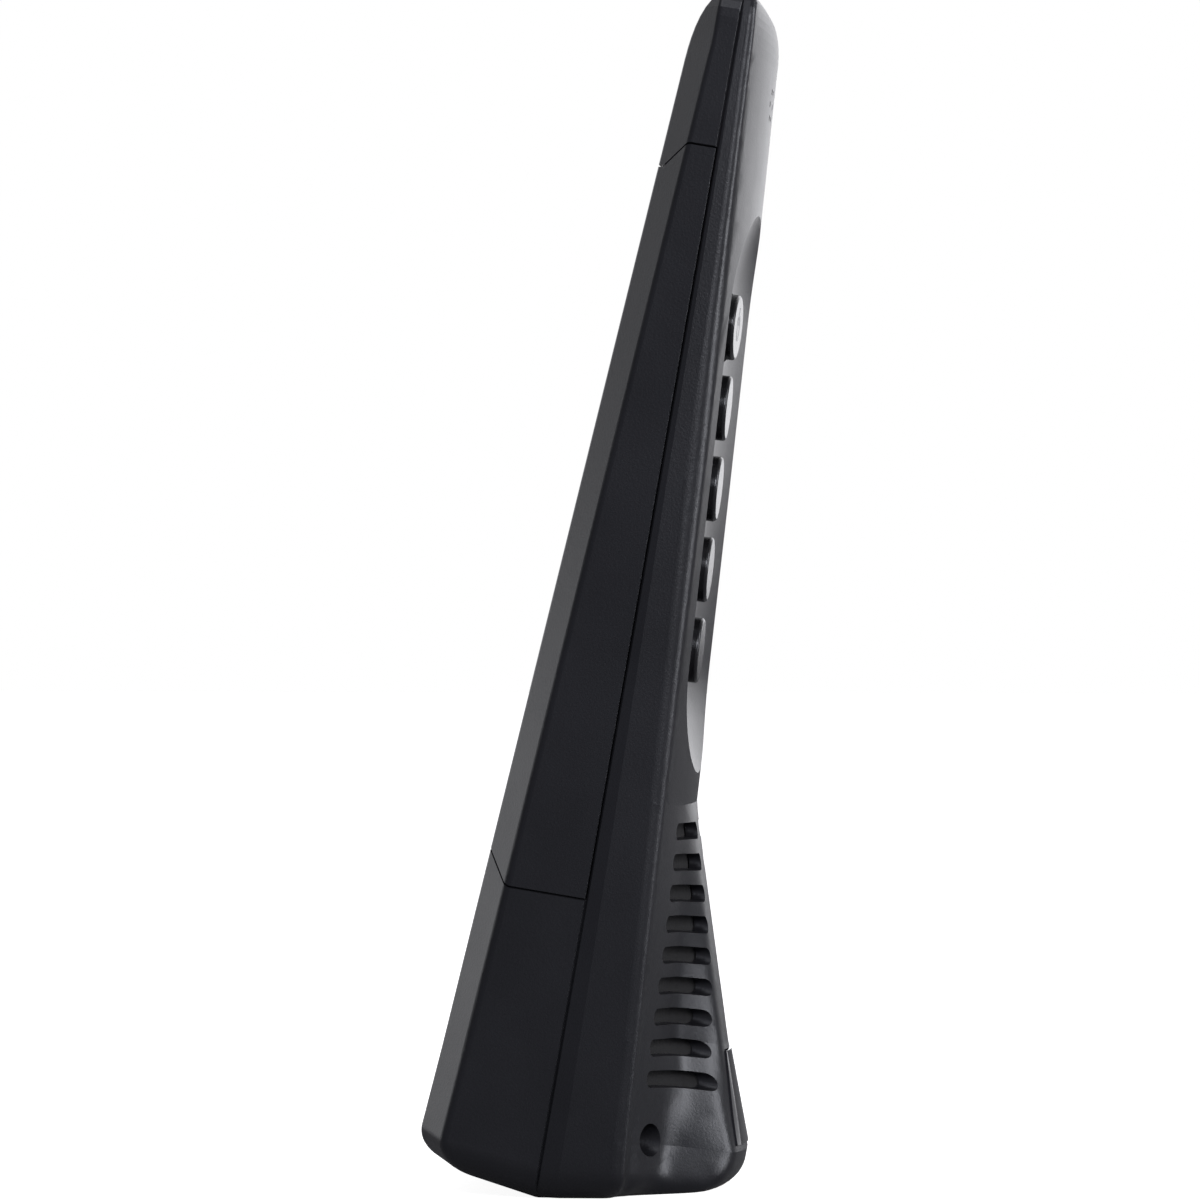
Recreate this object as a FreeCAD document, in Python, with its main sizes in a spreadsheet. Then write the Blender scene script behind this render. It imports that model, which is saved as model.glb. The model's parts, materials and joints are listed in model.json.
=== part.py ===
import FreeCAD, Part

import math
import os

import Sketcher
from FreeCAD import Placement, Rotation, Vector

# A cordless handset that stands leaning forward on its own wide foot.
# Row frame, in millimetres: +Z up, the foot's flat underside at Z = 0, the front towards -Y,
# and X across the width, with the handset symmetrical about X = 0.
#
# Three tilted frames do most of the work:
#   CASE  Y square to the parting plane between the case halves (front negative), Z up along it
#   FACE  Y into the face (0 at the key tops), Z up along the row of keys
#   BACK  Y out of the back (0 at the back's flat), Z up along the back

SIZES = {
    # case as a whole
    "case_lean": 9.85,
    "parting_start": 8.63,
    "case_length": 190.5,
    "foot_half_width": 27.0,
    "width_taper": 0.0175,
    "wall": 2.0,
    "joint_gap": 0.15,
    "corner_round": 4.5,
    "groove": 0.3,
    "front_draft": 0.035,
    "rear_draft": 0.015,
    # front half, depths measured forward from the parting plane
    "ridge_foot": 12.75,
    "ridge_taper": 0.0567,
    "crease_foot": 3.3,
    "crease_taper": 0.0188,
    "foot_side_round": 5.0,
    "toe_run": 3.5,
    "toe_rise": 8.0,
    "foot_floor": 3.2,
    "nose_depth": 29.96,
    "nose_height": 11.0,
    "kink_depth": 23.98,
    "kink_height": 27.0,
    "waist_depth": 12.0,
    "waist_height": 63.7,
    "middle_depth": 9.2,
    "middle_height": 113.9,
    "brow_depth": 4.7,
    "brow_height": 181.0,
    "crown_rise": 2.9,
    "nose_half_width": 9.0,
    "kink_half_width": 4.5,
    "nose_side": 8.0,
    "flank_blend": 5.0,
    "nose_flank": 0.42,
    "kink_flank": 0.18,
    "ridge_round_foot": 1.3,
    "ridge_round_top": 3.6,
    # rear half
    "back_depth": 20.55,
    "back_taper": 3.94,
    "bevel_depth": 4.5,
    "bevel_width": 8.0,
    "bevel_round": 1.6,
    "back_round": 3.0,
    "side_at_top": 3.5,
    "back_round_start": 178.7,
    "heel_round": 5.6,
    "heel_slope": 8.0,
    "heel_height": 20.0,
    # battery cover, heights along the parting plane
    "cover_low": 47.0,
    "cover_low_back": 51.8,
    "cover_high": 166.8,
    "cover_high_back": 161.9,
    "cover_wall": 1.8,
    "cover_gap": 0.35,
    # keypad dish and keys, in the face frame
    "face_y": -18.09,
    "face_z": 110.3,
    "face_lean": 6.54,
    "dish_depth": 1.9,
    "dish_radius": 100.0,
    "dish_flat_half": 28.0,
    "dish_end_radius": 42.0,
    "dish_half_length": 50.0,
    "dish_wall": 1.5,
    "key_pitch": 12.95,
    "key_row_start": 26.25,
    "key_round": 5.2,
    "talk_half_width": 8.1,
    "key_clearance": 0.25,
    "key_cap_depth": 3.6,
    "key_flange_depth": 0.7,
    "key_flange_margin": 0.8,
    "key_stem_round": 2.0,
    "key_stem_length": 1.9,
    "key_edge_round": 0.5,
    # louvres and screw wells, heights along the parting plane
    "louvre_top": 59.55,
    "louvre_pitch": 4.8,
    "louvre_height": 2.65,
    "louvre_count": 9,
    "louvre_outer_top": 16.5,
    "louvre_outer_foot": 21.5,
    "louvre_inner_top": 1.8,
    "louvre_inner_foot": 8.2,
    "louvre_reach": 7.0,
    "baffle_gap": 0.2,
    "baffle_depth": 0.9,
    "well_height": 11.8,
    "well_offset": 20.0,
    "well_round": 2.55,
    "well_seat": -4.0,
    "boss_round": 4.3,
    "screw_head_round": 2.2,
    "screw_head_height": 1.8,
    "screw_round": 1.1,
    "screw_length": 11.0,
    # trim plate on the front of the foot
    "plate_low": 12.0,
    "plate_high": 26.0,
    "plate_low_half": 8.2,
    "plate_high_half": 4.4,
    "plate_proud": 0.3,
    "plate_depth": 1.0,
    "plate_reach": 15.0,
    # keypad stack behind the keys, in the face frame
    "membrane_width": 36.0,
    "membrane_length": 70.0,
    "membrane_depth": 0.8,
    "membrane_start": 5.3,
    "dome_depth": 0.15,
    "board_start": 7.4,
    "board_width": 40.0,
    "board_length": 82.0,
    "board_depth": 1.2,
    "board_shift": 9.5,
    "board_corner": 2.0,
    "board_hole_across": 17.5,
    "board_hole_along": 38.0,
    # radio and sound
    "shield_width": 26.0,
    "shield_length": 22.0,
    "shield_depth": 2.2,
    "shield_height": 33.0,
    "chip_across": 6.0,
    "chip_height": 12.0,
    "crystal_across": 9.0,
    "crystal_height": 14.0,
    "audio_height": 4.0,
    "chip_side": 9.0,
    "chip_depth": 1.1,
    "crystal_length": 5.0,
    "crystal_width": 3.2,
    "ear_height": 62.0,
    "ear_hole_count": 6,
    "ear_hole_spread": 2.4,
    "ear_hole_round": 0.5,
    "earpiece_start": 1.4,
    "earpiece_round": 7.5,
    "earpiece_depth": 3.0,
    "speaker_height": 36.0,
    "speaker_start": 8.2,
    "speaker_round": 15.0,
    "speaker_rim": 2.2,
    "speaker_depth": 3.0,
    "magnet_round": 9.0,
    "magnet_depth": 5.0,
    "microphone_height": 14.0,
    "microphone_start": 24.0,
    "microphone_round": 3.0,
    "microphone_length": 2.4,
    # battery
    "cell_round": 5.25,
    "cell_length": 44.5,
    "cell_low": 49.3,
    "cell_lift": 0.35,
    "tray_floor": 1.0,
    "rail_offset": 20.5,
    "rail_wall": 1.4,
    "contact_offset": 9.0,
    "contact_width": 4.0,
    "contact_length": 7.0,
    "contact_start": 5.0,
    "contact_proud": 0.3,
}

DOC = FreeCAD.newDocument("cordless_handset")
SHEET = DOC.addObject("Spreadsheet::Sheet", "sizes")
for sheet_row, (alias, value) in enumerate(SIZES.items(), start=1):
    SHEET.set(f"A{sheet_row}", alias)
    SHEET.set(f"B{sheet_row}", str(value))
    SHEET.setAlias(f"B{sheet_row}", alias)
DOC.recompute()


def size(alias):
    """A driving dimension, read from the sheet."""
    return float(SHEET.get(alias))


X_AXIS = Vector(1, 0, 0)
Y_AXIS = Vector(0, 1, 0)
Z_AXIS = Vector(0, 0, 1)
CASE = Placement(Vector(0, size("parting_start"), 0), Rotation(X_AXIS, size("case_lean")))
FACE = Placement(Vector(0, size("face_y"), size("face_z")), Rotation(X_AXIS, size("face_lean")))
BACK_IN_CASE = Placement(Vector(0, size("back_depth"), 0), Rotation(X_AXIS, size("back_taper")))
BACK = CASE * BACK_IN_CASE
FACE_IN_CASE = CASE.inverse() * FACE
NODES = []


def node(label, obj):
    """Give a finished piece the name of its node."""
    obj.Label = label
    NODES.append(obj)
    return obj


def shape_node(label, shape, frame):
    """A node whose shape is worked out with Part's own functions."""
    feature = DOC.addObject("Part::Feature", label)
    feature.Shape = shape
    feature.Placement = frame
    return node(label, feature)


def bind(obj, **expressions):
    """Tie an object's properties to cells of the sheet."""
    for name, expression in expressions.items():
        obj.setExpression(name, expression)
    return obj


# ---------------------------------------------------------------- case outlines, CASE frame

LENGTH = size("case_length")
# Reaches that only have to pass clear of the case.
PAST_FRONT = -45.0
PAST_BACK = 40.0
PAST_SIDE = 40.0
CORNER_STEPS = 4
CROWN_STEPS = 13
TOP_STEPS = 10
FOOT_STEPS = 6


def round_off(height, start, power):
    """Superellipse factor that closes a depth from 1 at start to 0 at the top of the case."""
    if height <= start:
        return 1.0
    part = min((height - start) / (LENGTH - start), 0.999)
    return (1.0 - part ** power) ** (1.0 / power)


def between(height, low, high):
    """Straight line between two (height, depth) pairs."""
    return low[1] + (high[1] - low[1]) * (height - low[0]) / (high[0] - low[0])


def half_width(height):
    """Half the width of the case, with its rounded top corners."""
    plain = size("foot_half_width") - size("width_taper") * height
    corner = size("corner_round")
    over = max(height - (LENGTH - corner), 0.0)
    return plain - corner + math.sqrt(max(corner ** 2 - min(over, corner) ** 2, 0.0))


def quarter_round(height, run, rise):
    """Inset that follows a quarter ellipse from run at the ground to nothing at rise."""
    part = min(max((rise - height) / rise, 0.0), 1.0)
    return run * (1.0 - math.sqrt(1.0 - part ** 2))


def foot_side_inset(height):
    """How far both halves draw in at their sides near the ground."""
    return quarter_round(height, size("foot_side_round"), size("foot_side_round"))


def fan(points, height, slope, end):
    """Lay a section's points on a plane that is sloped at the ground and level at height end."""
    fade = max(1.0 - height / end, 0.0)
    return [Vector(point.x, point.y, height + slope * fade * point.y) for point in points]


def crease_depth(height):
    """Depth of the band beside the parting line."""
    depth = max(size("crease_foot") - size("crease_taper") * height, size("groove") + 0.1)
    return depth * round_off(height, size("brow_height"), 2)


def front_depth(height):
    """Depth of the front along its centre line."""
    if height < size("nose_height"):
        return size("nose_depth") - quarter_round(height, size("toe_run"), size("toe_rise"))
    stops = [(size(name + "_height"), size(name + "_depth"))
             for name in ("nose", "kink", "waist", "middle", "brow")]
    for low, high in zip(stops, stops[1:]):
        if height <= high[0]:
            return between(height, low, high)
    return size("brow_depth") * round_off(height, size("brow_height"), 2)


def ridge_depth(height):
    """Depth of the ridge where the flat side would meet the front if it weren't rounded."""
    depth = size("ridge_foot") - size("ridge_taper") * height
    return min(depth, 0.78 * front_depth(height)) - 0.5 * foot_side_inset(height)


def along_foot(height, nose, kink, waist):
    """Value that changes in straight lines from the nose to the kink to the waist."""
    if height < size("kink_height"):
        return between(height, (size("nose_height"), nose), (size("kink_height"), kink))
    if height < size("waist_height"):
        return between(height, (size("kink_height"), kink), (size("waist_height"), waist))
    return waist


def front_line(across, height, side, ridge, depth, thin):
    """Depth of the front at a distance across: crown, sloping flank and the nose's steep side."""
    rise = depth - ridge
    crown = 1.0 - (across / side) ** 2
    if height >= size("waist_height"):
        return ridge + rise * crown
    inner = max(along_foot(height, size("nose_half_width"), size("kink_half_width"), 0.0) - thin, 0.0)
    outer = inner + size("nose_side")
    slope = along_foot(height, size("nose_flank"), size("kink_flank"), 0.0)
    offset = abs(across) - inner
    softened = inner + 0.5 * (offset + math.sqrt(offset ** 2 + size("flank_blend") ** 2))
    flank = slope * (side - min(softened, side))
    swell = rise - size("crown_rise") - slope * (side - inner)
    run = min(max((abs(across) - inner) / (outer - inner), 0.0), 1.0)
    bulge = 0.5 * (1.0 + math.cos(math.pi * run))
    return ridge + size("crown_rise") * crown + flank + swell * bulge


def front_wire(height, inset):
    """Cross-section of the front half, or of its hollow when inset is the wall."""
    side = half_width(height) - foot_side_inset(height) - inset
    crease = crease_depth(height)
    depth = front_depth(height) - inset
    ridge = ridge_depth(height) - 0.6 * inset
    part = height / LENGTH
    corner = size("ridge_round_foot") + part * (size("ridge_round_top") - size("ridge_round_foot"))
    corner = min(corner, 0.6 * (ridge - min(crease, 0.5 * ridge)))
    drawn = side - size("front_draft") * ridge
    reach = drawn - corner
    start = ridge - corner
    shoulder = front_line(reach, height, drawn, ridge, depth, 0.6 * inset)
    half = []
    for step in range(CORNER_STEPS):
        turn = math.radians(90.0 * step / CORNER_STEPS)
        across = drawn - corner * (1.0 - math.cos(turn))
        half.append((across, start + (shoulder - start) * math.sin(turn)))
    for step in range(CROWN_STEPS):
        across = reach * (1.0 - step / CROWN_STEPS)
        half.append((across, front_line(across, height, drawn, ridge, depth, 0.6 * inset)))
    middle = (0.0, front_line(0.0, height, drawn, ridge, depth, 0.6 * inset))
    other = [(-across, forward) for across, forward in reversed(half)]
    points = [Vector(across, -forward, 0) for across, forward in half + [middle] + other]
    if inset > 0.0:
        flat = [Vector(side, 2.0, 0)]
    else:
        edge = side - 0.15 * crease
        groove = min(size("groove"), 0.6 * crease)
        flat = [Vector(edge - groove, 0, 0), Vector(edge, -groove, 0), Vector(side, -crease, 0)]
    slope = -math.tan(math.radians(size("case_lean")))
    points = fan(points, height, slope, size("nose_height"))
    flat = fan(flat, height, slope, size("nose_height")) + [points[0]]
    front = Part.BSplineCurve()
    front.interpolate(points)
    flat_back = [Vector(-point.x, point.y, point.z) for point in reversed(flat)]
    edges = [Part.makeLine(start, end) for start, end in zip(flat, flat[1:])]
    edges.append(front.toShape())
    edges += [Part.makeLine(start, end) for start, end in zip(flat_back, flat_back[1:])]
    edges.append(Part.makeLine(flat_back[-1], flat[0]))
    return Part.Wire(edges)


def back_depth(height):
    """Depth of the back's flat behind the parting plane."""
    depth = size("back_depth") - math.tan(math.radians(size("back_taper"))) * height
    return depth * round_off(height, size("back_round_start"), 2.4)


def rounded_outline(points, radii):
    """Closed wire through points, with a tangent arc at each corner whose radius isn't zero."""
    edges = []
    starts = []
    ends = []
    for index, point in enumerate(points):
        before = (points[index - 1] - point).normalize()
        after = (points[(index + 1) % len(points)] - point).normalize()
        radius = radii[index]
        if radius == 0.0:
            starts.append(point)
            ends.append(point)
            edges.append(None)
            continue
        half = before.getAngle(after) / 2
        run = radius / math.tan(half)
        middle = (before + after).normalize() * (radius / math.sin(half) - radius)
        starts.append(point + before * run)
        ends.append(point + after * run)
        edges.append(Part.Arc(starts[-1], point + middle, ends[-1]).toShape())
    chain = []
    for index, arc in enumerate(edges):
        if arc is not None:
            chain.append(arc)
        chain.append(Part.makeLine(ends[index], starts[(index + 1) % len(points)]))
    return Part.Wire(chain)


def back_wire(height, inset):
    """Cross-section of the rear half, or of its hollow when inset is the wall."""
    side = half_width(height) - foot_side_inset(height) - inset
    outer_depth = back_depth(height) - quarter_round(height, size("heel_round"), size("heel_round"))
    depth = outer_depth - inset
    scale = min(max((outer_depth - size("side_at_top")) / size("bevel_depth"), 0.08), 1.0)
    bevel = min(size("bevel_depth") * scale, 0.6 * depth)
    drawn = side - size("rear_draft") * (depth - bevel)
    flat = side + 0.45 * inset - size("bevel_width") * scale
    groove = size("groove")
    rounding = min(size("bevel_round"), 0.25 * (depth - bevel), size("bevel_width") * scale / 4)
    back_rounding = min(size("back_round"), size("bevel_width") * scale / 4)
    corner = [Vector(drawn, depth - bevel, height), Vector(flat, depth, height)]
    radii = [rounding, back_rounding]
    if inset > 0.0:
        right = [Vector(side, -1.0, height)] + corner
        sharp = [0.0]
    else:
        edge = side - 0.15 * crease_depth(height)
        small = min(groove, 0.2 * depth)
        right = [Vector(edge - small, 0.0, height), Vector(edge, small, height)] + corner
        sharp = [0.0, 0.0]
    right = fan(right, height, math.tan(math.radians(size("heel_slope"))), size("heel_height"))
    left = [Vector(-point.x, point.y, point.z) for point in reversed(right)]
    return rounded_outline(right + left, sharp + radii + radii[::-1] + sharp)


def loft(wire_at, heights, inset):
    """Solid through one section at each height, with straight runs between them."""
    return Part.makeLoft([wire_at(height, inset) for height in heights], True, True)


def smooth_foot_loft(wire_at, foot, upper):
    """Solid whose foot flows smoothly through its sections, with straight runs above it."""
    base = Part.makeLoft([wire_at(height, 0.0) for height in foot], True, False)
    return base.fuse(loft(wire_at, foot[-1:] + upper, 0.0))


def top_heights(start, end):
    """Heights that follow the rounding of the top, closer together towards its end."""
    return [start + (end - start) * math.sin(math.radians(90.0 * step / TOP_STEPS))
            for step in range(TOP_STEPS + 1)]


def case_prism(points, depth_from, depth_to):
    """Prism square to the parting plane over an outline of (across, height) points."""
    corners = [Vector(across, depth_from, height) for across, height in points]
    face = Part.Face(Part.makePolygon(corners + [corners[0]]))
    return face.extrude(Vector(0, depth_to - depth_from, 0))


def side_prism(points, half):
    """Prism across the width over an outline of (depth, height) points."""
    corners = [Vector(-half, depth, height) for depth, height in points]
    face = Part.Face(Part.makePolygon(corners + [corners[0]]))
    return face.extrude(Vector(2 * half, 0, 0))


def post(across, height, radius, depth_from, depth_to):
    """Round post or hole square to the parting plane."""
    centre = Vector(across, depth_from, height)
    return Part.makeCylinder(radius, depth_to - depth_from, centre, Y_AXIS)


def slot_prism(frame_x, frame_z, half_long, half_high, depth_from, depth_to):
    """Prism along Y with round ends, longest across the width."""
    depth = depth_to - depth_from
    run = half_long - half_high
    start = Vector(frame_x - run, depth_from, frame_z)
    ends = [Part.makeCylinder(half_high, depth, start + Vector(shift, 0, 0), Y_AXIS)
            for shift in ([0.0, 2 * run] if run > 0.01 else [0.0])]
    if run <= 0.01:
        return ends[0]
    middle = Part.makeBox(2 * run, depth, 2 * half_high, start - Vector(0, 0, half_high))
    return middle.fuse(ends).removeSplitter()


# ---------------------------------------------------------------- keypad dish, FACE frame

def dish_form(extra):
    """Barrel that hollows the face, grown by extra for the wall behind it."""
    radius = size("dish_radius") + extra
    flat = size("dish_flat_half")
    reach = size("dish_half_length") + extra
    end = size("dish_end_radius") + extra
    axis_y = size("dish_depth") - size("dish_radius")
    rim = radius - 14.0

    def drop(run):
        """How far the end arc has risen from the dish floor after a run along it."""
        return end - math.sqrt(end ** 2 - run ** 2)

    def at(distance, along):
        return Vector(0, axis_y + distance, along)

    run = reach - flat
    low = [at(radius - drop(run), -reach), at(radius - drop(run / 2), -flat - run / 2), at(radius, -flat)]
    high = [Vector(point.x, point.y, -point.z) for point in reversed(low)]
    edges = [Part.Arc(*low).toShape(), Part.makeLine(low[2], high[0]), Part.Arc(*high).toShape(),
             Part.makeLine(high[2], at(rim, reach)), Part.makeLine(at(rim, reach), at(rim, -reach)),
             Part.makeLine(at(rim, -reach), low[0])]
    face = Part.Face(Part.Wire(edges))
    face.rotate(Vector(0, axis_y, 0), Z_AXIS, -20)
    return face.revolve(Vector(0, axis_y, 0), Z_AXIS, 40)


KEYS = ("talk_key", "hold_key", "volume_up_key", "volume_down_key", "page_key")


def key_half_width(label):
    """Half the width of a key: the talk key is an oval, the others are round."""
    return size("talk_half_width") if label == "talk_key" else size("key_round")


def key_height(label):
    """Height of a key's centre in the face frame."""
    return size("key_row_start") - size("key_pitch") * KEYS.index(label)


# ---------------------------------------------------------------- front shell

MIDDLE_HEIGHTS = [size("kink_height"), size("waist_height"), size("middle_height")]


def foot_heights(start, end):
    """Heights that follow the rounding at the ground, closest together at its start."""
    return [start + (end - start) * (1.0 - math.cos(math.radians(90.0 * step / FOOT_STEPS)))
            for step in range(FOOT_STEPS + 1)]


def louvre_prisms():
    """The louvre slots on both flanks of the foot."""
    count = int(size("louvre_count"))
    prisms = []
    for step in range(count):
        part = step / (count - 1)
        outer = size("louvre_outer_top") + part * (size("louvre_outer_foot") - size("louvre_outer_top"))
        inner = size("louvre_inner_top") + part * (size("louvre_inner_foot") - size("louvre_inner_top"))
        height = size("louvre_top") - size("louvre_pitch") * step
        for hand in (-1, 1):
            prisms.append(slot_prism(hand * (outer + inner) / 2, height, (outer - inner) / 2,
                                     size("louvre_height") / 2, PAST_FRONT, -size("louvre_reach")))
    return prisms


def plate_outline(margin):
    """Tapered outline of the trim plate, grown by margin."""
    low = size("plate_low") - margin
    high = size("plate_high") + margin
    low_half = size("plate_low_half") + margin
    high_half = size("plate_high_half") + margin
    return [(-low_half, low), (low_half, low), (high_half, high), (-high_half, high)]


def top_groove():
    """Small V that carries the groove of the parting line over the top."""
    reach = size("groove")
    return side_prism([(-reach, LENGTH + 0.1), (reach, LENGTH + 0.1), (0.0, LENGTH - 2 * reach)], PAST_SIDE)


def make_front_outer():
    """Solid form of the front half."""
    upper = MIDDLE_HEIGHTS + top_heights(size("brow_height"), LENGTH)
    form = smooth_foot_loft(front_wire, foot_heights(0.0, size("nose_height")), upper)
    return form.cut(top_groove())


def make_front_shell(outer):
    """Front half of the case, with the dish, key holes, louvres, screw wells and plate recess."""
    wall = size("wall")
    low = foot_heights(size("foot_floor"), size("nose_height"))
    high = top_heights(size("brow_height"), LENGTH - 1.5 * wall)
    hollow = loft(front_wire, low + MIDDLE_HEIGHTS + high, wall)
    backing = dish_form(size("dish_wall"))
    backing.Placement = FACE_IN_CASE
    hollow = hollow.cut(backing)
    shell = outer.cut(hollow)
    bosses = [post(hand * size("well_offset"), size("well_height"), size("boss_round"), PAST_FRONT, 0.0)
              for hand in (-1, 1)]
    shell = shell.fuse([boss.common(outer) for boss in bosses])
    dish = dish_form(0.0)
    dish.Placement = FACE_IN_CASE
    cuts = [dish] + louvre_prisms()
    for label in KEYS:
        gap = size("key_clearance")
        hole = slot_prism(0, key_height(label), key_half_width(label) + gap, size("key_round") + gap, -5.0, 8.0)
        hole.Placement = FACE_IN_CASE
        cuts.append(hole)
    for hand in (-1, 1):
        across = hand * size("well_offset")
        cuts.append(post(across, size("well_height"), size("well_round"), PAST_FRONT, size("well_seat")))
        cuts.append(post(across, size("well_height"), size("screw_round") + 0.1, -10.0, 1.0))
    for step in range(int(size("ear_hole_count"))):
        turn = math.radians(360.0 * step / size("ear_hole_count"))
        spread = size("ear_hole_spread")
        hole = Part.makeCylinder(size("ear_hole_round"), 8.0,
                                 Vector(spread * math.cos(turn), -5.0, size("ear_height") + spread * math.sin(turn)),
                                 Y_AXIS)
        hole.Placement = FACE_IN_CASE
        cuts.append(hole)
    recess = case_prism(plate_outline(size("joint_gap")), PAST_FRONT, -size("plate_reach"))
    floor = outer.translated(Vector(0, size("plate_depth") + 0.05, 0))
    cuts.append(recess.cut(floor))
    for cut in cuts:
        shell = shell.cut(cut)
    return shell


def make_trim_plate(outer):
    """Plate that follows the front of the foot and stands a little proud of it."""
    tapered = case_prism(plate_outline(0.0), PAST_FRONT, -size("plate_reach"))
    skin = outer.translated(Vector(0, -size("plate_proud"), 0))
    floor = outer.translated(Vector(0, size("plate_depth"), 0))
    return tapered.common(skin).cut(floor)


def make_baffle():
    """Thin baffle behind the louvres, following the inside of the foot."""
    heights = [size("nose_height"), size("kink_height"), size("waist_height")]
    near = size("wall") + size("baffle_gap")
    sheet = loft(front_wire, heights, near).cut(loft(front_wire, heights, near + size("baffle_depth")))
    half = size("louvre_outer_foot")
    low = size("louvre_top") - size("louvre_pitch") * (size("louvre_count") - 1) - size("louvre_height")
    window = Part.makeBox(2 * half, 30.0, size("waist_height") - 1.5 - low, Vector(-half, -39.0, low))
    return sheet.common(window)


# ---------------------------------------------------------------- rear shell and battery cover

def make_rear_outer():
    """Solid form of the rear half, with its rounded heel."""
    upper = [size("heel_height")] + top_heights(size("back_round_start"), LENGTH)
    form = smooth_foot_loft(back_wire, foot_heights(0.0, size("heel_round")), upper)
    return form.cut(top_groove())


def cover_outline(margin):
    """Outline of the battery cover seen from behind, shrunk by margin at its ends."""
    half = size("foot_half_width") + 5.0
    flat = size("foot_half_width") - size("bevel_width") - 1.0
    side = size("foot_half_width") - 1.0
    low = size("cover_low") + margin
    high = size("cover_high") - margin
    low_back = size("cover_low_back") + margin
    high_back = size("cover_high_back") - margin
    return [(-half, low), (-side, low), (-flat, low_back), (flat, low_back), (side, low), (half, low),
            (half, high), (side, high), (flat, high_back), (-flat, high_back), (-side, high), (-half, high)]


def make_rear_shell(outer):
    """Rear half of the case: heel, top cap and the battery tray that joins them."""
    wall = size("wall")
    cover_wall = size("cover_wall")
    gap = size("joint_gap")
    heights = foot_heights(size("foot_floor"), size("heel_round") + wall) + [size("heel_height")]
    heights += top_heights(size("back_round_start"), LENGTH - wall)
    hollow = loft(back_wire, heights, wall)
    shell = outer.cut(hollow)
    opening = case_prism(cover_outline(0.0), 0.0, PAST_BACK)
    shell = shell.cut(opening)
    under_cover = loft(back_wire, [20.0, size("back_round_start")], cover_wall + gap)
    low = size("cover_low") - 4.0
    high = size("cover_high") + 3.0
    rail = size("rail_offset")
    web = size("rail_wall")
    frame_parts = []
    for hand in (-1, 1):
        start = rail if hand > 0 else -rail - web
        frame_parts.append(Part.makeBox(web, 14.0, high - low, Vector(start, 0.0, low)))
    for height in (size("cover_low") - 1.0, size("cell_low") + size("cell_length") + 2.5, size("cover_high") - 2.0):
        frame_parts.append(Part.makeBox(2 * rail, 20.0, 1.8, Vector(-rail, 3.2, height)))
    tray = Part.makeBox(2 * rail, size("tray_floor"), size("cell_length") + 3.5,
                        Vector(-rail, 0.0, size("cell_low") - 3.0))
    depth = -2 * size("cell_round") - size("cover_wall") - size("cell_lift") - size("tray_floor") - 0.1
    tray.Placement = BACK_IN_CASE * Placement(Vector(0, depth, 0), Rotation())
    frame_parts.append(tray)
    for part in frame_parts:
        shell = shell.fuse(part.common(under_cover))
    for hand in (-1, 1):
        boss = post(hand * size("well_offset"), size("well_height"), size("boss_round") - 1.0, 0.0, 22.0)
        shell = shell.fuse(boss.common(outer))
        shell = shell.cut(post(hand * size("well_offset"), size("well_height"), size("screw_round") + 0.02,
                               -1.0, size("well_seat") + size("screw_length") + 0.5))
    return shell.removeSplitter()


def make_cover(outer):
    """Battery cover: a long channel with bevelled corners."""
    inside = loft(back_wire, [20.0, size("back_round_start")], size("cover_wall"))
    lift = size("joint_gap")
    channel = outer.cut(inside)
    return channel.common(case_prism(cover_outline(size("cover_gap")), lift, PAST_BACK)).removeSplitter()


# ---------------------------------------------------------------- build the case

front_outer = make_front_outer()
shape_node("front_shell", make_front_shell(front_outer), CASE)
shape_node("trim_plate", make_trim_plate(front_outer), CASE)
shape_node("louvre_baffle", make_baffle(), CASE)
rear_outer = make_rear_outer()
rear_shape = make_rear_shell(rear_outer)
shape_node("battery_cover", make_cover(rear_outer), CASE)


# ---------------------------------------------------------------- primitives in a tilted frame

def block(name, frame, centre, width, depth, height):
    """Box centred across and along, starting at centre's Y, with sizes named in the sheet."""
    obj = DOC.addObject("Part::Box", name)
    bind(obj, Length=f"sizes.{width}", Width=f"sizes.{depth}", Height=f"sizes.{height}")
    corner = Vector(centre[0] - size(width) / 2, centre[1], centre[2] - size(height) / 2)
    obj.Placement = frame * Placement(corner, Rotation())
    return obj


def disc(name, frame, centre, radius, depth):
    """Cylinder along Y that starts at centre, with sizes named in the sheet."""
    obj = DOC.addObject("Part::Cylinder", name)
    bind(obj, Radius=f"sizes.{radius}", Height=f"sizes.{depth}")
    obj.Placement = frame * Placement(Vector(*centre), Rotation(X_AXIS, -90))
    return obj


def pair(operation, name, base, tool):
    """Boolean of two document objects."""
    obj = DOC.addObject(operation, name)
    obj.Base = base
    obj.Tool = tool
    return obj


# ---------------------------------------------------------------- keys

def oval(name, centre, half_wide, half_high, depth):
    """Elliptical prism into the face: the three sizes are expressions in the sheet."""
    outline = DOC.addObject("Part::Ellipse", name + "_outline")
    bind(outline, MajorRadius=half_wide, MinorRadius=half_high)
    outline.Placement = FACE * Placement(Vector(*centre), Rotation(X_AXIS, -90))
    solid = DOC.addObject("Part::Extrusion", name)
    solid.Base = outline
    solid.DirMode = "Normal"
    solid.Solid = True
    bind(solid, LengthFwd=depth)
    return solid


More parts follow.
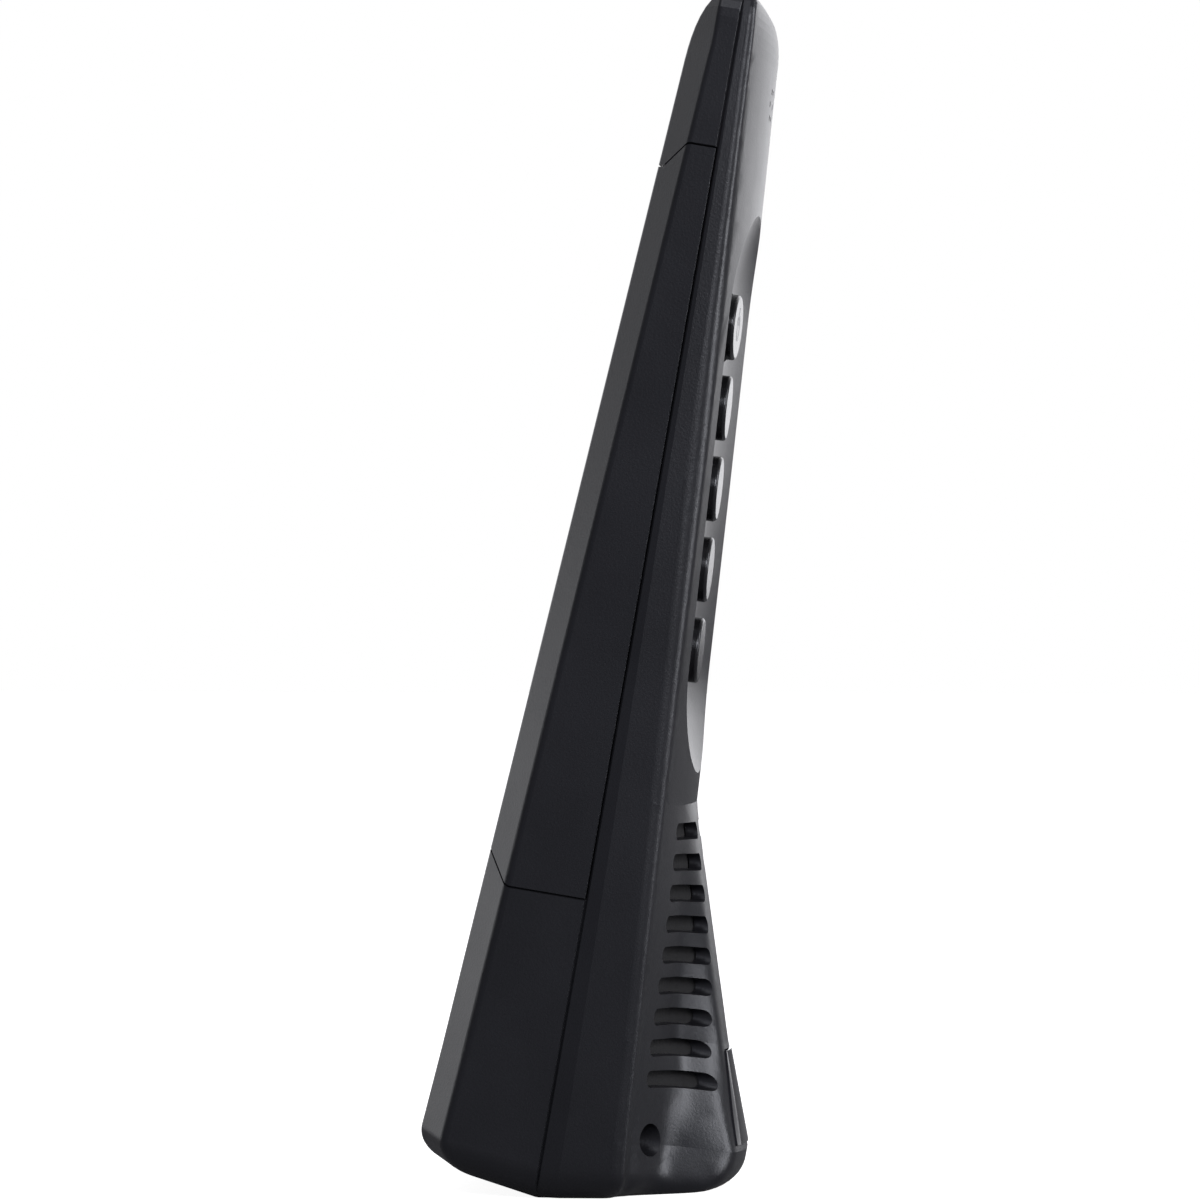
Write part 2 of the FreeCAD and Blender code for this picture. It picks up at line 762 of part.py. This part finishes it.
def make_key(label):
    """Key with a flat cap, a flange that keeps it in the shell, and a stem that works its switch."""
    height = key_height(label)
    wide = "sizes.talk_half_width" if label == "talk_key" else "sizes.key_round + 0.01"
    high = "sizes.key_round"
    cap_depth = size("key_cap_depth")
    flange_end = cap_depth + size("key_flange_depth")
    cap = oval(label + "_cap", (0, 0, height), wide, high, "sizes.key_cap_depth")
    DOC.recompute()
    top = [index + 1 for index, edge in enumerate(cap.Shape.Edges)
           if (FACE.inverse() * edge.CenterOfMass).y < 0.01 and len(edge.Vertexes) < 2]
    rounded = DOC.addObject("Part::Fillet", label + "_rounded")
    rounded.Base = cap
    rounded.Edges = [(index, size("key_edge_round"), size("key_edge_round")) for index in top]
    flange = oval(label + "_flange", (0, cap_depth, height), wide + " + sizes.key_flange_margin",
                  high + " + sizes.key_flange_margin", "sizes.key_flange_depth")
    stem = disc(label + "_stem", FACE, (0, flange_end, height), "key_stem_round", "key_stem_length")
    whole = DOC.addObject("Part::MultiFuse", label)
    whole.Shapes = [rounded, flange, stem]
    return node(label, whole)


for key_label in KEYS:
    make_key(key_label)


# ---------------------------------------------------------------- keypad stack and board

def origin_plane(body, role):
    """One of a body's own origin planes."""
    return next(item for item in body.Origin.OriginFeatures if item.Role == role)


def rectangle_sketch(body, name, width, height):
    """Rectangle centred on the body's XZ plane, with its sides tied to the sheet."""
    sketch = body.newObject("Sketcher::SketchObject", name)
    sketch.AttachmentSupport = [(origin_plane(body, "XZ_Plane"), "")]
    sketch.MapMode = "FlatFace"
    half_x = size(width) / 2
    half_y = size(height) / 2
    corners = [Vector(-half_x, -half_y, 0), Vector(half_x, -half_y, 0),
               Vector(half_x, half_y, 0), Vector(-half_x, half_y, 0)]
    for start, end in zip(corners, corners[1:] + corners[:1]):
        sketch.addGeometry(Part.LineSegment(start, end), False)
    for index in range(4):
        sketch.addConstraint(Sketcher.Constraint("Coincident", index, 2, (index + 1) % 4, 1))
    sketch.addConstraint(Sketcher.Constraint("Horizontal", 0))
    sketch.addConstraint(Sketcher.Constraint("Vertical", 1))
    sketch.addConstraint(Sketcher.Constraint("Horizontal", 2))
    sketch.addConstraint(Sketcher.Constraint("Vertical", 3))
    sketch.addConstraint(Sketcher.Constraint("Symmetric", 0, 1, 1, 2, -1, 1))
    wide = sketch.addConstraint(Sketcher.Constraint("DistanceX", 0, 1, 0, 2, size(width)))
    high = sketch.addConstraint(Sketcher.Constraint("DistanceY", 1, 1, 1, 2, size(height)))
    sketch.setExpression(f"Constraints[{wide}]", f"sizes.{width}")
    sketch.setExpression(f"Constraints[{high}]", f"sizes.{height}")
    return sketch


def circles_sketch(body, name, centres, radius):
    """Round holes on the body's XZ plane at (across, height) centres, radius an expression."""
    sketch = body.newObject("Sketcher::SketchObject", name)
    sketch.AttachmentSupport = [(origin_plane(body, "XZ_Plane"), "")]
    sketch.MapMode = "FlatFace"
    for across, height in centres:
        circle = sketch.addGeometry(Part.Circle(Vector(across, height, 0), Z_AXIS, 1.0), False)
        sketch.addConstraint(Sketcher.Constraint("DistanceX", -1, 1, circle, 3, across))
        sketch.addConstraint(Sketcher.Constraint("DistanceY", -1, 1, circle, 3, height))
        radius_index = sketch.addConstraint(Sketcher.Constraint("Radius", circle, 1.0))
        sketch.setExpression(f"Constraints[{radius_index}]", radius)
    return sketch


def plate_body(label, width, height, depth, frame, corner=None, holes=None, hole_radius=None):
    """Flat plate made as a pad, with rounded corners and round holes where asked."""
    body = DOC.addObject("PartDesign::Body", label)
    pad = body.newObject("PartDesign::Pad", label + "_pad")
    pad.Profile = rectangle_sketch(body, label + "_outline", width, height)
    bind(pad, Length=f"sizes.{depth}")
    pad.Reversed = True
    DOC.recompute()
    if corner:
        upright = [f"Edge{index + 1}" for index, edge in enumerate(pad.Shape.Edges)
                   if edge.BoundBox.YLength > 0.9 * size(depth) and edge.BoundBox.XLength < 0.01
                   and edge.BoundBox.ZLength < 0.01]
        fillet = body.newObject("PartDesign::Fillet", label + "_corners")
        fillet.Base = (pad, upright)
        bind(fillet, Radius=f"sizes.{corner}")
        DOC.recompute()
    if holes:
        before = body.Shape.Volume
        pocket = body.newObject("PartDesign::Pocket", label + "_holes")
        pocket.Profile = circles_sketch(body, label + "_circles", holes, hole_radius)
        pocket.Type = "ThroughAll"
        pocket.Midplane = True
        DOC.recompute()
        if body.Shape.Volume >= before:
            raise RuntimeError(label + ": the holes cut nothing")
    body.Placement = frame
    return node(label, body)


key_centres = [(0.0, key_height(label)) for label in KEYS]
BOARD_HOLES = [(across * size("board_hole_across"), along * size("board_hole_along"))
               for along in (-1, 1) for across in (-1, 1)]
plate_body("keypad_membrane", "membrane_width", "membrane_length", "membrane_depth",
           FACE * Placement(Vector(0, size("membrane_start"), 0), Rotation()), "board_corner",
           key_centres, "sizes.key_stem_round + 0.5")
plate_body("dome_sheet", "membrane_width", "membrane_length", "dome_depth",
           FACE * Placement(Vector(0, size("board_start") - size("dome_depth"), 0), Rotation()), "board_corner")
plate_body("main_board", "board_width", "board_length", "board_depth",
           FACE * Placement(Vector(0, size("board_start"), size("board_shift")), Rotation()), "board_corner",
           BOARD_HOLES, "sizes.screw_round")

BOARD_BACK = size("board_start") + size("board_depth")
node("radio_shield", block("radio_shield", FACE, (0, BOARD_BACK, size("shield_height")), "shield_width", "shield_depth",
                           "shield_length"))
node("baseband_chip", block("baseband_chip", FACE, (size("chip_across"), BOARD_BACK, size("chip_height")), "chip_side", "chip_depth",
                            "chip_side"))
node("crystal_can", block("crystal_can", FACE, (-size("crystal_across"), BOARD_BACK, size("crystal_height")), "crystal_length", "chip_depth",
                          "crystal_width"))
node("audio_chip", block("audio_chip", FACE, (-size("crystal_across"), BOARD_BACK, size("audio_height")), "crystal_length", "chip_depth",
                         "crystal_length"))


# ---------------------------------------------------------------- earpiece, loudspeaker, microphone

def ring(label, frame, centre, radius, bore, depth):
    """Round collar along Y; radius and bore are expressions in the sheet."""
    outer = DOC.addObject("Part::Cylinder", label + "_outer")
    bore_part = DOC.addObject("Part::Cylinder", label + "_bore")
    bind(outer, Radius=radius, Height=depth)
    bind(bore_part, Radius=bore, Height=depth + " + 2")
    outer.Placement = frame * Placement(Vector(*centre), Rotation(X_AXIS, -90))
    bore_part.Placement = frame * Placement(Vector(*centre) - Y_AXIS, Rotation(X_AXIS, -90))
    return node(label, pair("Part::Cut", label, outer, bore_part))


EAR_CENTRE = (0, size("earpiece_start"), size("ear_height"))
node("earpiece", disc("earpiece", FACE, EAR_CENTRE, "earpiece_round", "earpiece_depth"))
ring("earpiece_gasket", FACE, EAR_CENTRE, "sizes.earpiece_round + 1.2", "sizes.earpiece_round",
     "sizes.earpiece_depth")

SPEAKER = CASE * Placement(Vector(0, -size("speaker_start"), size("speaker_height")), Rotation())
ring("loudspeaker_frame", SPEAKER, (0, 0, 0), "sizes.speaker_round", "sizes.speaker_round - sizes.speaker_rim",
     "sizes.speaker_depth")
cone = DOC.addObject("Part::Cone", "loudspeaker_cone")
bind(cone, Radius1="sizes.speaker_round - sizes.speaker_rim", Radius2="sizes.magnet_round",
     Height="sizes.speaker_depth")
cone.Placement = SPEAKER * Placement(Vector(0, 0, 0), Rotation(X_AXIS, -90))
node("loudspeaker_cone", cone)
node("loudspeaker_magnet", disc("loudspeaker_magnet", SPEAKER, (0, size("speaker_depth"), 0), "magnet_round",
                                "magnet_depth"))
MICROPHONE = CASE * Placement(Vector(0, -size("microphone_start"), size("microphone_height")), Rotation())
node("microphone", disc("microphone", MICROPHONE, (0, 0, 0), "microphone_round", "microphone_length"))
ring("microphone_boot", MICROPHONE, (0, 0, 0), "sizes.microphone_round + 1", "sizes.microphone_round",
     "sizes.microphone_length")


# ---------------------------------------------------------------- battery

def make_cells():
    """Three cells side by side under the cover, with their raised ends alternating."""
    depth = -size("cover_wall") - size("cell_lift") - size("cell_round")
    middle = size("cell_low") + size("cell_length") / 2
    solids = []
    for step in (-1, 0, 1):
        cell = DOC.addObject("Part::Cylinder", f"cell_{step + 2}")
        bind(cell, Radius="sizes.cell_round - 0.03", Height="sizes.cell_length")
        spot = Vector(step * 2 * size("cell_round"), depth, middle - size("cell_length") / 2)
        cell.Placement = BACK * Placement(spot, Rotation())
        solids.append(cell)
    group = DOC.addObject("Part::Compound", "battery_cells")
    group.Links = solids
    return node("battery_cells", group)


make_cells()

screws = DOC.addObject("Part::Compound", "case_screws")
screw_parts = []
for hand in (-1, 1):
    spot = (hand * size("well_offset"), size("well_seat") - size("screw_head_height"), size("well_height"))
    seat = (spot[0], size("well_seat"), spot[2])
    head = disc(f"screw_head_{hand + 1}", CASE, spot, "screw_head_round", "screw_head_height")
    shank = disc(f"screw_shank_{hand + 1}", CASE, seat, "screw_round", "screw_length")
    screw = DOC.addObject("Part::MultiFuse", f"screw_{hand + 1}")
    screw.Shapes = [head, shank]
    screw_parts.append(screw)
screws.Links = screw_parts
node("case_screws", screws)


# ---------------------------------------------------------------- charging contacts in the heel

contact_shapes = []
for hand in (-1, 1):
    contact = DOC.addObject("Part::Box", f"contact_{hand + 1}")
    bind(contact, Length="sizes.contact_width", Width="sizes.contact_length", Height="sizes.wall + 1.5")
    start = size("contact_start")
    rise = math.tan(math.radians(size("heel_slope"))) * start - size("contact_proud")
    corner = Vector(hand * size("contact_offset") - size("contact_width") / 2, start, rise)
    contact.Placement = CASE * Placement(corner, Rotation(X_AXIS, size("heel_slope")))
    contact_shapes.append(contact)
contacts = DOC.addObject("Part::Compound", "charge_contacts")
contacts.Links = contact_shapes
node("charge_contacts", contacts)
DOC.recompute()
for contact in contact_shapes:
    pocket = contact.Shape.copy()
    pocket.Placement = CASE.inverse() * contact.Placement
    rear_shape = rear_shape.cut(pocket)
shape_node("rear_shell", rear_shape, CASE)


# ---------------------------------------------------------------- check and write

DOC.recompute()
for obj in DOC.Objects:
    if "Invalid" in obj.State or "Error" in obj.State:
        raise RuntimeError(f"{obj.Label} failed: {obj.State}")
os.makedirs("parts", exist_ok=True)
for piece in NODES:
    if piece.Shape.isNull() or not piece.Shape.isValid():
        raise RuntimeError(piece.Label + " has no valid shape")
    piece.Shape.exportStep(f"parts/{piece.Label}.step")
    box = piece.Shape.BoundBox
    print(f"{piece.Label:20s} solids {len(piece.Shape.Solids)} volume {piece.Shape.Volume:9.1f}"
          f"  x {box.XMin:7.2f} {box.XMax:7.2f}  y {box.YMin:7.2f} {box.YMax:7.2f}"
          f"  z {box.ZMin:7.2f} {box.ZMax:7.2f}")
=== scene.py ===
"""Looks for the cordless handset: studio, camera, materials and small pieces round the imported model."""

import json
import math

import bmesh
import bpy
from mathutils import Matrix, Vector


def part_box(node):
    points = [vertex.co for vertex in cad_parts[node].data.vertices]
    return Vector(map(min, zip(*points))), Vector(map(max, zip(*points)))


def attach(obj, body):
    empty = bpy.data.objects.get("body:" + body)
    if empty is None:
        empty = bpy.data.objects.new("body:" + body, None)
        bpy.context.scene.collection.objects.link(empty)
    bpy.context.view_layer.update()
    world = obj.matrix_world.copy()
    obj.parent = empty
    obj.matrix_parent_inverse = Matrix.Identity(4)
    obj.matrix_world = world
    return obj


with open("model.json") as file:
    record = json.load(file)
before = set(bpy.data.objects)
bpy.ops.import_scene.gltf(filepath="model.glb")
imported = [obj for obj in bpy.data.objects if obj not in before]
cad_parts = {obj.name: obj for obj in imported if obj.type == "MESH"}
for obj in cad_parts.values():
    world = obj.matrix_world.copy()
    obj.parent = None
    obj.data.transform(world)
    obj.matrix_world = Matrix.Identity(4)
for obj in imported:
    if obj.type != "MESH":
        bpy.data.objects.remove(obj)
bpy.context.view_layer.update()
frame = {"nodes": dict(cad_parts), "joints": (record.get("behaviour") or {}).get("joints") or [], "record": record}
NODES = frame["nodes"]
MM = 0.001

# The way into the face, which is the talk key's own slide, and the way up along the face.
SLIDES = {joint["name"]: Vector(joint["axis"]).normalized() for joint in frame["joints"]}
FACE_IN = SLIDES["talk_press"]
FACE_UP = Vector((0, -FACE_IN.z, FACE_IN.y))

# Plastics, rubbers and foams: colour, roughness, grain per metre and depth of the grain in metres.
PLASTICS = {
    "case_black": ((0.0100, 0.0102, 0.0125), 0.34, 2600.0, 0.00003),
    "key_black": ((0.008, 0.008, 0.009), 0.26, 3600.0, 0.000008),
    "gloss_black": ((0.010, 0.010, 0.012), 0.10, 2000.0, 0.000002),
    "silicone_grey": ((0.22, 0.23, 0.24), 0.6, 1500.0, 0.00001),
    "clear_film": ((0.5, 0.51, 0.47), 0.2, 900.0, 0.000002),
    "board_green": ((0.015, 0.12, 0.05), 0.3, 1500.0, 0.000006),
    "chip_black": ((0.02, 0.02, 0.022), 0.55, 2500.0, 0.00001),
    "foam_black": ((0.025, 0.025, 0.025), 0.9, 1800.0, 0.0001),
    "cone_black": ((0.022, 0.022, 0.024), 0.8, 1200.0, 0.00005),
    "cell_wrap": ((0.04, 0.28, 0.14), 0.25, 700.0, 0.000003),
}
MARK_PALE = ((0.50, 0.51, 0.53), 0.45, 3600.0, 0.000004)
CLOUDS_PER_METRE = 55.0
CLOUD_SHADES = (0.86, 1.14)
CLOUD_ROUGHNESS = 0.04
GRAIN_ROUGHNESS = 0.03
HIGHLIGHT_TINT = (0.90, 0.92, 1.0, 1)

# Metals: colour and roughness.
METALS = {
    "tinned_steel": ((0.62, 0.63, 0.64), 0.3),
    "zinc_steel": ((0.5, 0.5, 0.52), 0.35),
    "gold_plate": ((0.83, 0.62, 0.26), 0.25),
}
STREAKS_PER_METRE = 900.0
STREAK_SHADE = 0.9
STREAK_ROUGHNESS = 0.06

# The baffle behind the louvres: colour, painted shade at the bottom of a dimple (how much darker the colour is
# painted there), pitch and depth of the dimples.
BAFFLE_COLOUR = (0.009, 0.009, 0.011)
BAFFLE_PAINTED_SHADE = 0.75
BAFFLE_PITCH = 1.1 * MM
BAFFLE_DEPTH = 0.06 * MM
BAFFLE_ROUGHNESS = 0.85

# The surroundings' light, from the handset's near side (0) to its far side (1): places and levels.
NEAR_SIDE = (0.05, (0.21, 0.21, 0.245))
BACKDROP = (0.97, (1.9, 1.9, 1.95))
BETWEEN = ((0.45, 0.14), (0.78, 0.28), (0.92, 0.80))
COOL_CAST = 1.03
SEEN_WHITE = (1.0, 1.0, 1.0, 1)

# The floor: half its side in metres, its two colours where seen and how often they change per metre, its colour
# where it throws light back, and its glow.
FLOOR_REACH = 4.0
FLOOR_SEEN = ((0.86, 0.86, 0.86), (0.88, 0.88, 0.88))
FLOOR_GRAIN = 40.0
FLOOR_BOUNCE = (0.30, 0.30, 0.31, 1)
FLOOR_GLOW = 0.92
FLOOR_ROUGHNESS = 0.9

# Lamps: place, aim, width and height in metres, and power in watts.
LAMPS = {
    "front_strip": ((-0.10, -0.90, 0.22), (0, 0, 0.10), 0.30, 0.90, 6.0),
    "side_front": ((-0.75, -0.42, 0.42), (0, 0, 0.17), 0.25, 0.25, 3.0),
    "top_soft": ((-0.35, 0.10, 0.80), (0, 0, 0.16), 0.50, 0.50, 1.3),
    "rear_soft": ((0.35, 0.80, 0.10), (0, 0, 0.10), 0.60, 0.30, 0.5),
}


# ---------------------------------------------------------------- camera

def make_camera():
    """Camera at the left side of the handset, a little towards its front, level with its middle."""
    turn = math.radians(-84.0)
    distance = 0.770
    seen = 0.192
    sensor = 36.0
    data = bpy.data.cameras.new("camera")
    data.sensor_width = sensor
    data.lens = sensor * distance / seen
    camera = bpy.data.objects.new("camera", data)
    bpy.context.scene.collection.objects.link(camera)
    aim = Vector((0, 0.0011, 0.093))
    back = Vector((math.sin(turn), -math.cos(turn), 0))
    camera.location = aim + distance * back
    camera.rotation_euler = back.to_track_quat("Z", "Y").to_euler()
    bpy.context.scene.camera = camera


# ---------------------------------------------------------------- node helpers

def new_material(name):
    """Node material, with its tree and its shader."""
    material = bpy.data.materials.new(name)
    material.use_nodes = True
    tree = material.node_tree
    shader = tree.nodes["Principled BSDF"]
    return material, tree, shader


def link(tree, start, end):
    tree.links.new(start, end)


def noise(tree, scale, detail=2.0, roughness=0.5):
    """Noise in the model's own metres, so that its grain has a real size."""
    place = tree.nodes.new("ShaderNodeTexCoord")
    item = tree.nodes.new("ShaderNodeTexNoise")
    item.inputs["Scale"].default_value = scale
    item.inputs["Detail"].default_value = detail
    item.inputs["Roughness"].default_value = roughness
    link(tree, place.outputs["Object"], item.inputs["Vector"])
    return item


def ramp(tree, source, low, high, at_low=0.35, at_high=0.65):
    """Turn a value into a colour between low and high."""
    item = tree.nodes.new("ShaderNodeValToRGB")
    item.color_ramp.elements[0].position = at_low
    item.color_ramp.elements[0].color = (*low, 1)
    item.color_ramp.elements[1].position = at_high
    item.color_ramp.elements[1].color = (*high, 1)
    link(tree, source, item.inputs["Fac"])
    return item


def span(tree, source, low, high):
    """Map a 0 to 1 value onto low to high."""
    item = tree.nodes.new("ShaderNodeMapRange")
    item.inputs["To Min"].default_value = low
    item.inputs["To Max"].default_value = high
    link(tree, source, item.inputs["Value"])
    return item


def bump(tree, shader, source, distance):
    """Shade the surface as if its height varied by up to a distance in metres."""
    item = tree.nodes.new("ShaderNodeBump")
    item.inputs["Strength"].default_value = 1.0
    item.inputs["Distance"].default_value = distance
    link(tree, source, item.inputs["Height"])
    link(tree, item.outputs["Normal"], shader.inputs["Normal"])


# ---------------------------------------------------------------- materials

def moulded_plastic(name, colour, rough, grain, depth):
    """Moulded plastic with a fine spark-eroded grain and faint cloudiness."""
    material, tree, shader = new_material(name)
    fine = noise(tree, grain, 3.0, 0.6)
    cloud = noise(tree, CLOUDS_PER_METRE, 3.0, 0.55)
    dark, light = (tuple(shade * level for level in colour) for shade in CLOUD_SHADES)
    tint = ramp(tree, cloud.outputs["Fac"], dark, light)
    link(tree, tint.outputs["Color"], shader.inputs["Base Color"])
    mixed = tree.nodes.new("ShaderNodeMath")
    mixed.operation = "ADD"
    broad = span(tree, cloud.outputs["Fac"], rough - CLOUD_ROUGHNESS, rough + CLOUD_ROUGHNESS)
    small = span(tree, fine.outputs["Fac"], -GRAIN_ROUGHNESS, GRAIN_ROUGHNESS)
    link(tree, broad.outputs["Result"], mixed.inputs[0])
    link(tree, small.outputs["Result"], mixed.inputs[1])
    link(tree, mixed.outputs["Value"], shader.inputs["Roughness"])
    shader.inputs["Specular Tint"].default_value = HIGHLIGHT_TINT
    bump(tree, shader, fine.outputs["Fac"], depth)
    return material


def metal(name, colour, rough):
    """Drawn or plated metal with fine streaks."""
    material, tree, shader = new_material(name)
    shader.inputs["Metallic"].default_value = 1.0
    fine = noise(tree, STREAKS_PER_METRE)
    tint = ramp(tree, fine.outputs["Fac"], tuple(STREAK_SHADE * level for level in colour), colour)
    link(tree, tint.outputs["Color"], shader.inputs["Base Color"])
    roughness = span(tree, fine.outputs["Fac"], rough - STREAK_ROUGHNESS, rough + STREAK_ROUGHNESS)
    link(tree, roughness.outputs["Result"], shader.inputs["Roughness"])
    return material


def pierced_plastic(name):
    """Matt plastic with fine round dimples in rows, like a moulded acoustic baffle, with painted shade darkening
    the bottom of each dimple.
    """
    material, tree, shader = new_material(name)
    place = tree.nodes.new("ShaderNodeTexCoord")
    cells = tree.nodes.new("ShaderNodeTexVoronoi")
    cells.inputs["Scale"].default_value = 1.0 / BAFFLE_PITCH
    cells.inputs["Randomness"].default_value = 0.0
    link(tree, place.outputs["Object"], cells.inputs["Vector"])
    # Painted shade: the colour is darkened towards the bottom of each dimple, where its bump is lowest.
    dark = tuple(BAFFLE_PAINTED_SHADE * level for level in BAFFLE_COLOUR)
    tint = ramp(tree, cells.outputs["Distance"], dark, BAFFLE_COLOUR, 0.2, 0.45)
    link(tree, tint.outputs["Color"], shader.inputs["Base Color"])
    shader.inputs["Roughness"].default_value = BAFFLE_ROUGHNESS
    bump(tree, shader, cells.outputs["Distance"], BAFFLE_DEPTH)
    return material


def make_materials():
    """One material for each slot of the record."""
    materials = {name: moulded_plastic(name, *values) for name, values in PLASTICS.items()}
    materials.update({name: metal(name, *values) for name, values in METALS.items()})
    materials["baffle_black"] = pierced_plastic("baffle_black")
    return materials


def paint_nodes(materials):
    """Give every CAD node the material of its slot."""
    for entry in frame["record"]["subparts"]:
        data = NODES[entry["node"]].data
        data.materials.clear()
        data.materials.append(materials[entry["material_slot"]])


# ---------------------------------------------------------------- small mark on the talk key

def make_talk_mark(material):
    """Ring with a short bar, printed a hair proud of the talk key's top."""
    ring_outer = 2.2 * MM
    ring_inner = 1.8 * MM
    bar_half = 0.22 * MM
    bar_low = 0.4 * MM
    bar_high = 2.9 * MM
    proud = 0.04 * MM
    ring_steps = 64
    end_steps = 10
    key = NODES["talk_key"]
    low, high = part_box("talk_key")
    middle = (Vector(low) + Vector(high)) / 2
    top = min(vertex.co.dot(FACE_IN) for vertex in key.data.vertices)
    centre = middle + FACE_IN * (top - middle.dot(FACE_IN))
    mesh = bmesh.new()

    def at(across, along, lift):
        return mesh.verts.new(centre + Vector((across, 0, 0)) + FACE_UP * along - FACE_IN * lift)

    def wall_round(outline):
        """Side walls between an outline at the key's top and the same outline raised; the caller closes them with
        caps.
        """
        base = [at(across, along, 0.0) for across, along in outline]
        raised = [at(across, along, proud) for across, along in outline]
        for index in range(len(outline)):
            after = (index + 1) % len(outline)
            mesh.faces.new((base[index], base[after], raised[after], raised[index]))
        return base, raised

    def circle(radius):
        turns = [2 * math.pi * step / ring_steps for step in range(ring_steps)]
        return [(radius * math.sin(turn), radius * math.cos(turn)) for turn in turns]

    def bar_end(along, side):
        """Half circle at an end of the bar: side is 1 at its upper end and -1 at its lower end."""
        turns = [math.pi * step / end_steps for step in range(end_steps + 1)]
        reach = side * bar_half
        return [(reach * math.cos(turn), along + reach * math.sin(turn)) for turn in turns]

    outer_base, outer_raised = wall_round(circle(ring_outer))
    inner_base, inner_raised = wall_round(circle(ring_inner))
    for outer, inner in ((outer_base, inner_base), (outer_raised, inner_raised)):
        for index in range(ring_steps):
            after = (index + 1) % ring_steps
            mesh.faces.new((outer[index], outer[after], inner[after], inner[index]))
    base, raised = wall_round(bar_end(bar_high, 1) + bar_end(bar_low, -1))
    mesh.faces.new(base)
    mesh.faces.new(raised)
    bmesh.ops.recalc_face_normals(mesh, faces=mesh.faces)
    data = bpy.data.meshes.new("talk_mark")
    mesh.to_mesh(data)
    mesh.free()
    data.materials.append(material)
    piece = bpy.data.objects.new("talk_mark", data)
    bpy.context.scene.collection.objects.link(piece)
    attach(piece, "talk_key")


# ---------------------------------------------------------------- studio

def make_world():
    """White backdrop on the handset's far side, fading to dim surroundings on its near side."""
    world = bpy.data.worlds.new("studio")
    bpy.context.scene.world = world
    world.use_nodes = True
    tree = world.node_tree
    background = tree.nodes["Background"]
    place = tree.nodes.new("ShaderNodeTexCoord")
    split = tree.nodes.new("ShaderNodeSeparateXYZ")
    link(tree, place.outputs["Generated"], split.inputs[0])
    across = tree.nodes.new("ShaderNodeMapRange")
    across.inputs["From Min"].default_value = -1.0
    across.inputs["From Max"].default_value = 1.0
    link(tree, split.outputs["X"], across.inputs["Value"])
    shade = tree.nodes.new("ShaderNodeValToRGB")
    for stop, (position, colour) in zip(shade.color_ramp.elements, (NEAR_SIDE, BACKDROP)):
        stop.position = position
        stop.color = (*colour, 1)
    for position, level in BETWEEN:
        stop = shade.color_ramp.elements.new(position)
        stop.color = (level, level, COOL_CAST * level, 1)
    link(tree, across.outputs["Result"], shade.inputs["Fac"])
    seen = tree.nodes.new("ShaderNodeMixRGB")
    seen.inputs["Color2"].default_value = SEEN_WHITE
    path = tree.nodes.new("ShaderNodeLightPath")
    link(tree, path.outputs["Is Camera Ray"], seen.inputs["Fac"])
    link(tree, shade.outputs["Color"], seen.inputs["Color1"])
    link(tree, seen.outputs["Color"], background.inputs["Color"])
    background.inputs["Strength"].default_value = 1.0


def area_light(name, place, aim, width, height, power):
    """Soft rectangular lamp."""
    data = bpy.data.lights.new(name, "AREA")
    data.shape = "RECTANGLE"
    data.size = width
    data.size_y = height
    data.energy = power
    lamp = bpy.data.objects.new(name, data)
    lamp.location = place
    lamp.rotation_euler = (Vector(place) - Vector(aim)).to_track_quat("Z", "Y").to_euler()
    bpy.context.scene.collection.objects.link(lamp)


def floor_material():
    """Floor that looks white, but throws little light back up at the handset's dark sides."""
    material, tree, shader = new_material("floor_pale")
    fine = noise(tree, FLOOR_GRAIN)
    pale = ramp(tree, fine.outputs["Fac"], *FLOOR_SEEN)
    path = tree.nodes.new("ShaderNodeLightPath")
    mixed = tree.nodes.new("ShaderNodeMixRGB")
    mixed.inputs["Color1"].default_value = FLOOR_BOUNCE
    link(tree, path.outputs["Is Camera Ray"], mixed.inputs["Fac"])
    link(tree, pale.outputs["Color"], mixed.inputs["Color2"])
    link(tree, mixed.outputs["Color"], shader.inputs["Base Color"])
    shader.inputs["Roughness"].default_value = FLOOR_ROUGHNESS
    shader.inputs["Specular IOR Level"].default_value = 0.0
    shader.inputs["Emission Color"].default_value = SEEN_WHITE
    glow = span(tree, path.outputs["Is Camera Ray"], 0.0, FLOOR_GLOW)
    link(tree, glow.outputs["Result"], shader.inputs["Emission Strength"])
    return material


def make_studio():
    """Surroundings, pale floor and soft lamps."""
    make_world()
    data = bpy.data.meshes.new("floor")
    signs = ((-1, -1), (1, -1), (1, 1), (-1, 1))
    corners = [(across * FLOOR_REACH, along * FLOOR_REACH, 0) for across, along in signs]
    data.from_pydata(corners, [], [(0, 1, 2, 3)])
    floor = bpy.data.objects.new("floor", data)
    bpy.context.scene.collection.objects.link(floor)
    data.materials.append(floor_material())
    for name, values in LAMPS.items():
        area_light(name, *values)


bpy.context.scene.view_settings.view_transform = "Standard"
make_camera()
paint_nodes(make_materials())
make_talk_mark(moulded_plastic("mark_pale", *MARK_PALE))
make_studio()
